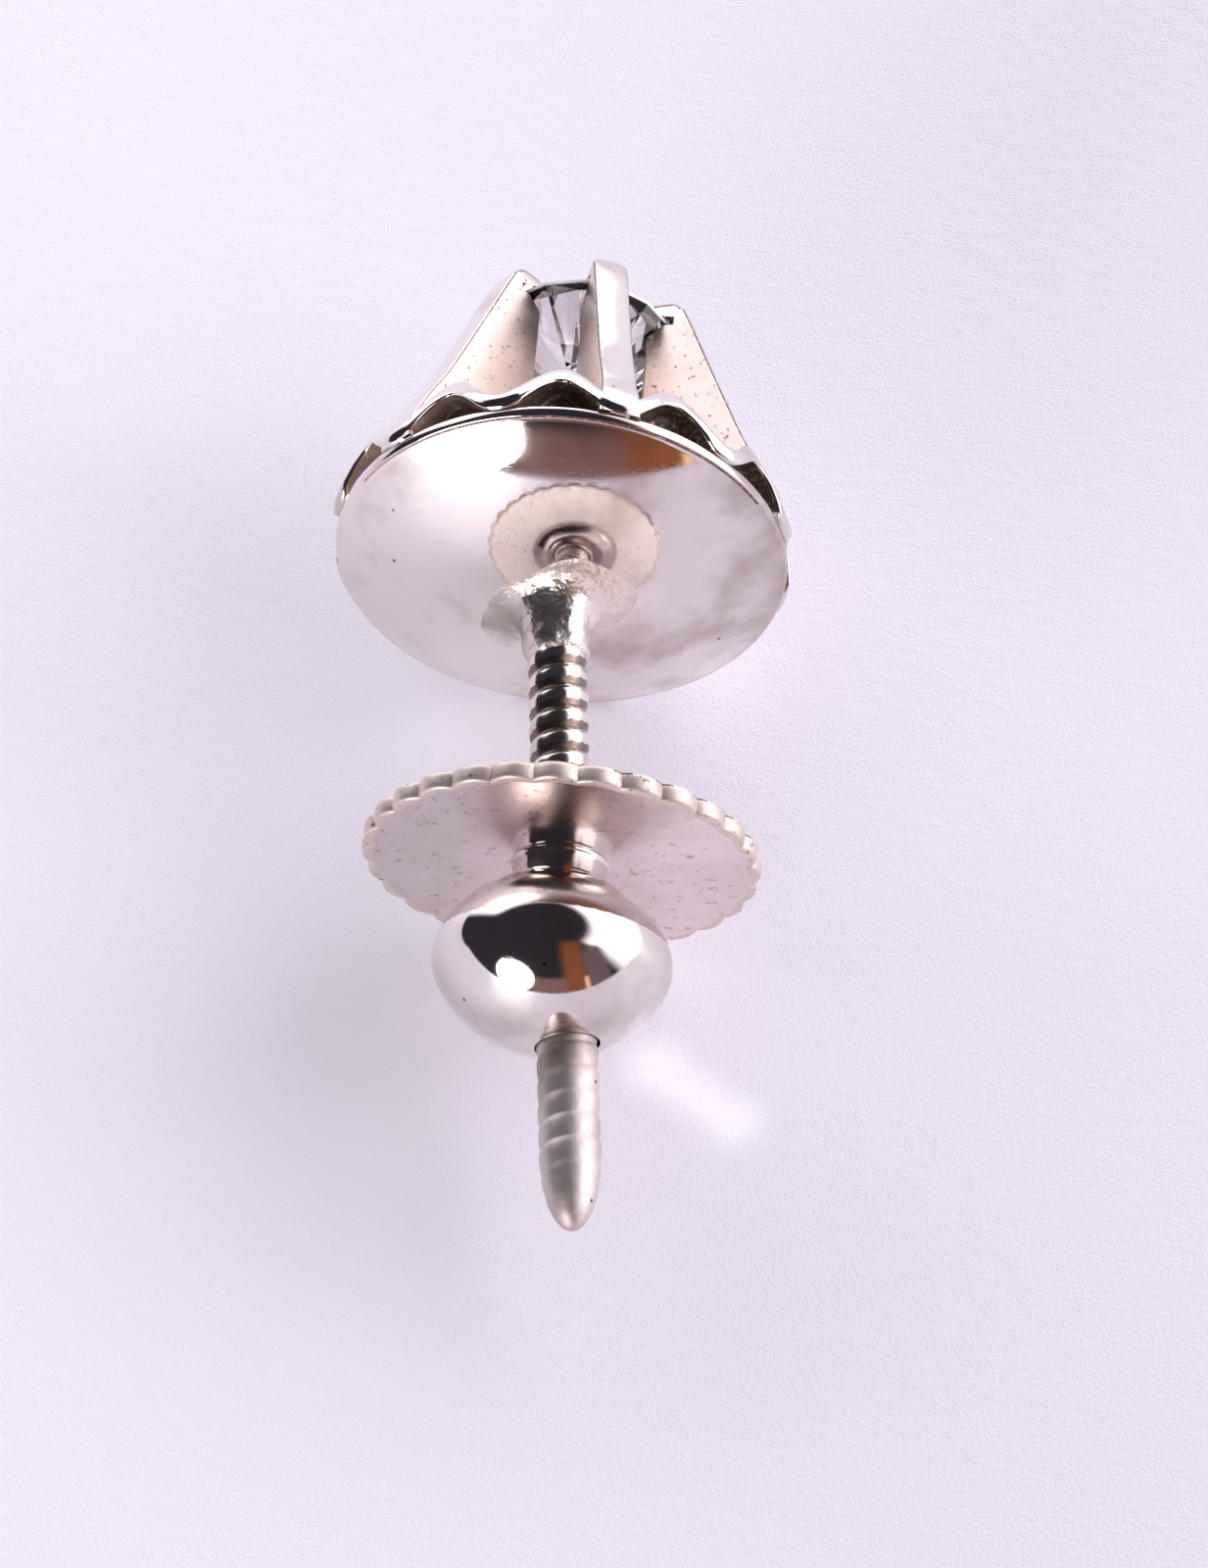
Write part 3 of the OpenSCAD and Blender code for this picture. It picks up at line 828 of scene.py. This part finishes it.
nose_from = POST_L - NOSE_L
post_rings = [[(0, 0, -POST_FROM)] * POST_AROUND]
for depth in np.arange(POST_FROM, nose_from, PITCH / STEPS_PER_PITCH):
    rubbed = min(1.0, max(0.0, (depth - RUBBED_FROM + RUB_BEFORE) / RUB_OVER))
    post_rings.append(post_ring(depth, thread=1 - RUBBED_SHARE * rubbed))
for angle in np.linspace(0, math.pi / 2, 40):
    fade = max(0.0, 1 - math.degrees(angle) / NOSE_FADE)
    post_rings.append(
        post_ring(
            nose_from + NOSE_L * math.sin(angle),
            squeeze=math.cos(angle),
            along=nose_from + NOSE_L * angle,
            thread=(1 - RUBBED_SHARE) * fade,
        )
    )


def thread_slot(step, side):
    """Grime and painted shade darken the groove of the thread, its crests are bright, and its tail is
    rubbed.
    """
    along = POST_FROM + step * PITCH / STEPS_PER_PITCH
    share = ((along - THREAD_FROM) / PITCH + (side + 0.5) / POST_AROUND) % 1
    if along > RUBBED_FROM:
        return 2
    return 0 if BRIGHT[0] < share < BRIGHT[1] else 1


ear_post = skin("ear_post", post_rings, post_place, sharp=50, slot_of=thread_slot)
thread_gold = polished_white_gold("threaded_white_gold", "EFE5DF", "B0A198", 0.16, 0.006)
groove_gold = polished_white_gold("thread_groove_grime_and_shade_gold", "8C7C72", "5E5048", 0.3, 0.01)
rubbed_gold = polished_white_gold("rubbed_white_gold", "DED2CE", "A8978F", 0.5, 0.008)
fit(ear_post, [thread_gold, groove_gold, rubbed_gold], "head", "setting")

dome_centre = post_place.inverted() @ crown_place @ Vector((0, 0, dome_middle))


def dome_depth(x, y):
    """How far below the rim, along the post, the dome's back lies at this place."""
    return math.sqrt(DOME_R ** 2 - (x - dome_centre.x) ** 2 - (y - dome_centre.y) ** 2) - dome_centre.z


collar_rings = []
for r, depth, follow in [(0, 1.0, 0)] + smooth_rows(COLLAR, 6) + [(0, 2.03, 0)]:
    ring = []
    for i in range(COLLAR_AROUND):
        a = 2 * math.pi * i / COLLAR_AROUND
        lumpy = 1 + (0.03 + 0.08 * follow) * math.sin(2 * a + 3 * depth)
        lumpy += 0.025 * math.sin(5 * a - 4 * depth)
        x, y = r * lumpy * math.cos(a), r * lumpy * math.sin(a)
        slope = dome_depth(x, y) - (dome_depth(r * lumpy, 0) + dome_depth(-r * lumpy, 0)) / 2
        ring.append((x, y, -depth - slope * follow))
    collar_rings.append(ring)
solder_collar = skin("solder_collar", collar_rings, post_place)
solder_gold = polished_white_gold("soldered_white_gold", "F0E6DF", "A2948B", 0.3, 0.05)
fit(solder_collar, [solder_gold], "head", "setting")

# Diamond
# A round brilliant of clear diamond with flat polished facets. Its girdle is left frosted, and the
# claws' notches hold it there.
FROST_HALF = 0.045


def cut_diamond():
    """Cut diamond: clear and colourless, with hard glints, and frosted round its girdle."""
    material, tree, place = new_material("cut_diamond")
    girdle_h = girdle_middle.dot(crown_up) / MM
    height = add(tree, "VectorMath", {0: place, 1: crown_up}, operation="DOT_PRODUCT").outputs["Value"]
    off = add(tree, "Math", {0: height, 1: girdle_h}, operation="SUBTRACT").outputs[0]
    distance = add(tree, "Math", {0: off}, operation="ABSOLUTE").outputs[0]
    clear = add(
        tree, "MapRange", {"Value": distance, "From Min": GIRDLE_HALF, "From Max": FROST_HALF}
    ).outputs[0]
    frost = add(
        tree,
        "MapRange",
        {"Value": distance, "From Min": GIRDLE_HALF, "From Max": FROST_HALF, "To Min": 0.6, "To Max": 0.0},
    ).outputs[0]
    finish_material(
        tree,
        Base_Color=linear("FEFDFF"),
        Roughness=frost,
        IOR=2.42,
        Transmission_Weight=clear,
    )
    return material


frame["nodes"]["diamond"].material_slots[0].material = cut_diamond()

# Nut
# The screw back: a milled disc with a low dome on its front and a neck and a polished ball on its
# back, all of white gold and soldered together. The disc is duller, mottled and spotted from wear, with
# painted shade along its upper front edge, and the low dome on its front is painted darker, as a painted
# dark reflection.
DISC_R = 3.26
DISC_T = 0.32
TEETH = 28
TOOTH_DEPTH = 0.12
TOOTH_ROOT_R = 2.95
TOOTH_FULL_R = DISC_R - 0.06
FACE_R = 3.08
EDGE_EASE = 0.13
STEPS_PER_TOOTH = 14
# Where painted shade darkens the disc's front edge and its notches, as shares of a turn from below,
# and how many rings of the rounded edge it covers there: it stands in for the shade at the edge seen in the
# dome's mirror
EDGE_PAINTED_SHADE = (0.3, 0.7)
EDGE_PAINTED_SHADE_RINGS = 3
NOTCH_PAINTED_SHADE = (0.27, 0.46)
NOTCH_PAINTED_SHADE_RINGS = 5
# A side counts as in a notch up to this, where a notch's middle is 0 and a tooth's tip is 1
NOTCH_OPEN = 0.6
HOLE_R = 0.64
BOSS_R = 1.5
BOSS_H = 0.75
BOSS_TOP_R = 0.76
NECK_R = 0.78
BALL_REACH = 1.75
BALL_R = 1.95
BALL_HALF_L = 1.5
MOUTH_R = 0.53
BUSH_TO = 8.67
EQUATOR_R = 0.85
BODY_AROUND = 224
HOLE_AROUND = 144
WORN_CLOUD = 1.1
WORN_SPECK = 0.2


def worn_white_gold(name):
    """White gold worn satin: soft near reflections that blur more towards the edge, and faint spots."""
    material, tree, place = new_material(name)
    cloud = add(
        tree, "TexNoise", {"Vector": place, "Scale": 1 / WORN_CLOUD, "Detail": 5.0, "Roughness": 0.6}
    )
    metal = add(
        tree, "Mix", {0: cloud.outputs[0], 6: linear("F2E8E6"), 7: linear("CFC1BD")}, data_type="RGBA"
    )
    specks = add(
        tree, "TexNoise", {"Vector": place, "Scale": 1 / WORN_SPECK, "Detail": 5.0, "Roughness": 0.7}
    )
    speck = add(
        tree,
        "MapRange",
        {"Value": specks.outputs[0], "From Min": 0.56, "From Max": 0.72},
        interpolation_type="SMOOTHSTEP",
    )
    base = add(
        tree, "Mix", {0: speck.outputs[0], 6: metal.outputs[2], 7: linear("9A8883")}, data_type="RGBA"
    )
    relief = add(tree, "Bump", {"Height": specks.outputs[0], "Distance": 0.003 * MM, "Strength": 0.6})
    reach = add(tree, "VectorMath", {0: place, 1: disc_front / MM}, operation="SUBTRACT").outputs[0]
    beside = add(tree, "VectorMath", {0: reach, 1: nut_up}, operation="CROSS_PRODUCT").outputs[0]
    from_axis = add(tree, "VectorMath", {0: beside}, operation="LENGTH").outputs["Value"]
    gloss = add(
        tree,
        "MapRange",
        {"Value": from_axis, "From Min": 0.9, "From Max": 2.0, "To Min": 0.1, "To Max": 0.24},
    )
    finish_material(
        tree,
        Base_Color=base.outputs[2],
        Metallic=1.0,
        Roughness=gloss.outputs[0],
        Normal=relief.outputs[0],
    )
    return material


satin_gold = worn_white_gold("worn_white_gold")
disc_back = DISC_BELOW_RIM + DISC_T
disc_faces = [0.74, 1.2, 1.8, 2.3, 2.7, TOOTH_ROOT_R, FACE_R]
edge = eased(
    [
        (FACE_R, DISC_BELOW_RIM),
        (DISC_R, DISC_BELOW_RIM),
        (DISC_R, disc_back),
        (FACE_R, disc_back),
    ],
    EDGE_EASE,
    steps=7,
    closed=False,
)
disc_outline = (
    [(r, DISC_BELOW_RIM) for r in disc_faces[:-1]] + edge + [(r, disc_back) for r in disc_faces[-2::-1]]
)
disc_rings = []
for r, depth in disc_outline:
    reach = min(1.0, max(0.0, (r - TOOTH_ROOT_R) / (TOOTH_FULL_R - TOOTH_ROOT_R)))
    ring = []
    for i in range(TEETH * STEPS_PER_TOOTH):
        turn = 2 * math.pi * i / (TEETH * STEPS_PER_TOOTH)
        notch = TOOTH_DEPTH * (1 - abs(math.cos(TEETH * turn / 2)) ** 0.8)
        ring.append(((r - notch * reach) * math.sin(turn), (r - notch * reach) * math.cos(turn), -depth))
    disc_rings.append(ring)
first_edge = len(disc_faces) - 1
last_edge = first_edge + len(edge) - 1


def disc_slot(ring, side):
    """The milled edge is rough, with painted shade along its upper front and in some notches there."""
    if ring < first_edge:
        return 3
    if ring >= last_edge:
        return 0
    in_notch = abs(math.cos(math.pi * (side + 0.5) / STEPS_PER_TOOTH)) < NOTCH_OPEN
    turn = side / (TEETH * STEPS_PER_TOOTH)
    from_front = ring - first_edge
    if in_notch and from_front < NOTCH_PAINTED_SHADE_RINGS and NOTCH_PAINTED_SHADE[0] < turn < NOTCH_PAINTED_SHADE[1]:
        return 2
    return 2 if from_front < EDGE_PAINTED_SHADE_RINGS and EDGE_PAINTED_SHADE[0] < turn < EDGE_PAINTED_SHADE[1] else 1


nut_disc = skin("nut_disc", disc_rings, nut_place, closed=True, slot_of=disc_slot)
milled_gold = filed_white_gold("milled_white_gold", rough=0.45, metal_share=0.75)
scoured_gold = filed_white_gold("scoured_white_gold", "FFFAF4", "FBEFE6", 0.5, 0.35)
fit(nut_disc, [satin_gold, milled_gold, recess_grime_and_shade_gold, scoured_gold], "nut", "nut")

ball_middle = disc_back + BALL_REACH
equator_at = BALL_R - EQUATOR_R
cap_r = (BALL_HALF_L ** 2 + equator_at ** 2 - EQUATOR_R ** 2) / (2 * (BALL_HALF_L - EQUATOR_R))
join = math.atan2(equator_at, cap_r - BALL_HALF_L)
cap_from = math.asin((NECK_R + 0.1) / cap_r)
front = DISC_BELOW_RIM - BOSS_H
boss = [
    (BOSS_TOP_R + (BOSS_R - BOSS_TOP_R) * math.cos(a), DISC_BELOW_RIM - BOSS_H * math.sin(a))
    for a in np.linspace(math.pi / 2, 0.02, 28)
]
front_cap = [
    (cap_r * math.sin(a), ball_middle - BALL_HALF_L + cap_r - cap_r * math.cos(a))
    for a in np.linspace(cap_from, join, 20, endpoint=False)
]
equator = [
    (equator_at + EQUATOR_R * math.sin(a), ball_middle - EQUATOR_R * math.cos(a))
    for a in np.linspace(join, math.pi - join, 48, endpoint=False)
]
back_cap = [
    (cap_r * math.sin(a), ball_middle + BALL_HALF_L - cap_r + cap_r * math.cos(a))
    for a in np.linspace(join, 0, 40)
]
neck = eased(
    [
        (NECK_R + 0.04, disc_back - 0.1),
        (NECK_R + 0.04, disc_back + 0.01),
        (NECK_R, disc_back + 0.06),
        (NECK_R, front_cap[0][1] - 0.03),
        front_cap[0],
    ],
    [0, 0.04, 0.06, 0.08, 0],
    steps=6,
    closed=False,
)
nut_outline = [(0, front)] + boss + [(BOSS_R, disc_back - 0.1)] + neck + front_cap[1:] + equator + back_cap
nut_body = skin("nut_body", turned_rings([(r, -depth) for r, depth in nut_outline], BODY_AROUND), nut_place)
mouth = back_cap[-1][1]
drill_outline = [
    (0, front - 0.5),
    (HOLE_R + 0.4, front - 0.5),
    (HOLE_R, front - 0.04),
    (HOLE_R, BUSH_TO + 0.02),
    (MOUTH_R, BUSH_TO + 0.05),
    (MOUTH_R, mouth + 0.4),
    (0, mouth + 0.4),
]
drill = skin("drill", turned_rings([(r, -depth) for r, depth in drill_outline], HOLE_AROUND), post_place)
cut(nut_body, drill)
bpy.data.objects.remove(drill)
# The low dome on the disc's front gets a darker copy of the polished gold: painted shade for the dark it
# mirrors.
face_side = nut_up.dot(disc_front)
for face in nut_body.data.polygons:
    face.material_index = 1 if nut_up.dot(face.center) > face_side + 0.01 * MM else 0
boss_painted_dark_gold = polished_white_gold("boss_painted_dark_white_gold", "B2A5A3", "8C7F7E", 0.14, 0.004)
fit(nut_body, [mirror_gold, boss_painted_dark_gold], "nut", "nut")

# Nut bush
# A thin tube of white gold, tapped inside, that lines the nut's hole and runs on the post's
# thread. Its front end stands out of the disc's dome as a bright ring.
BUSH_BORE_R = 0.52
BUSH_R = 0.62
BUSH_FROM = 4.66
BUSH_AROUND = 120
bush_outline = eased(
    [(BUSH_BORE_R, -BUSH_FROM), (BUSH_R, -BUSH_FROM), (BUSH_R, -BUSH_TO), (BUSH_BORE_R, -BUSH_TO)],
    0.03,
)
nut_bush = skin("nut_bush_tube", turned_rings(bush_outline, BUSH_AROUND), post_place, closed=True)
fit(nut_bush, [mirror_gold], "bush", "nut_bush")
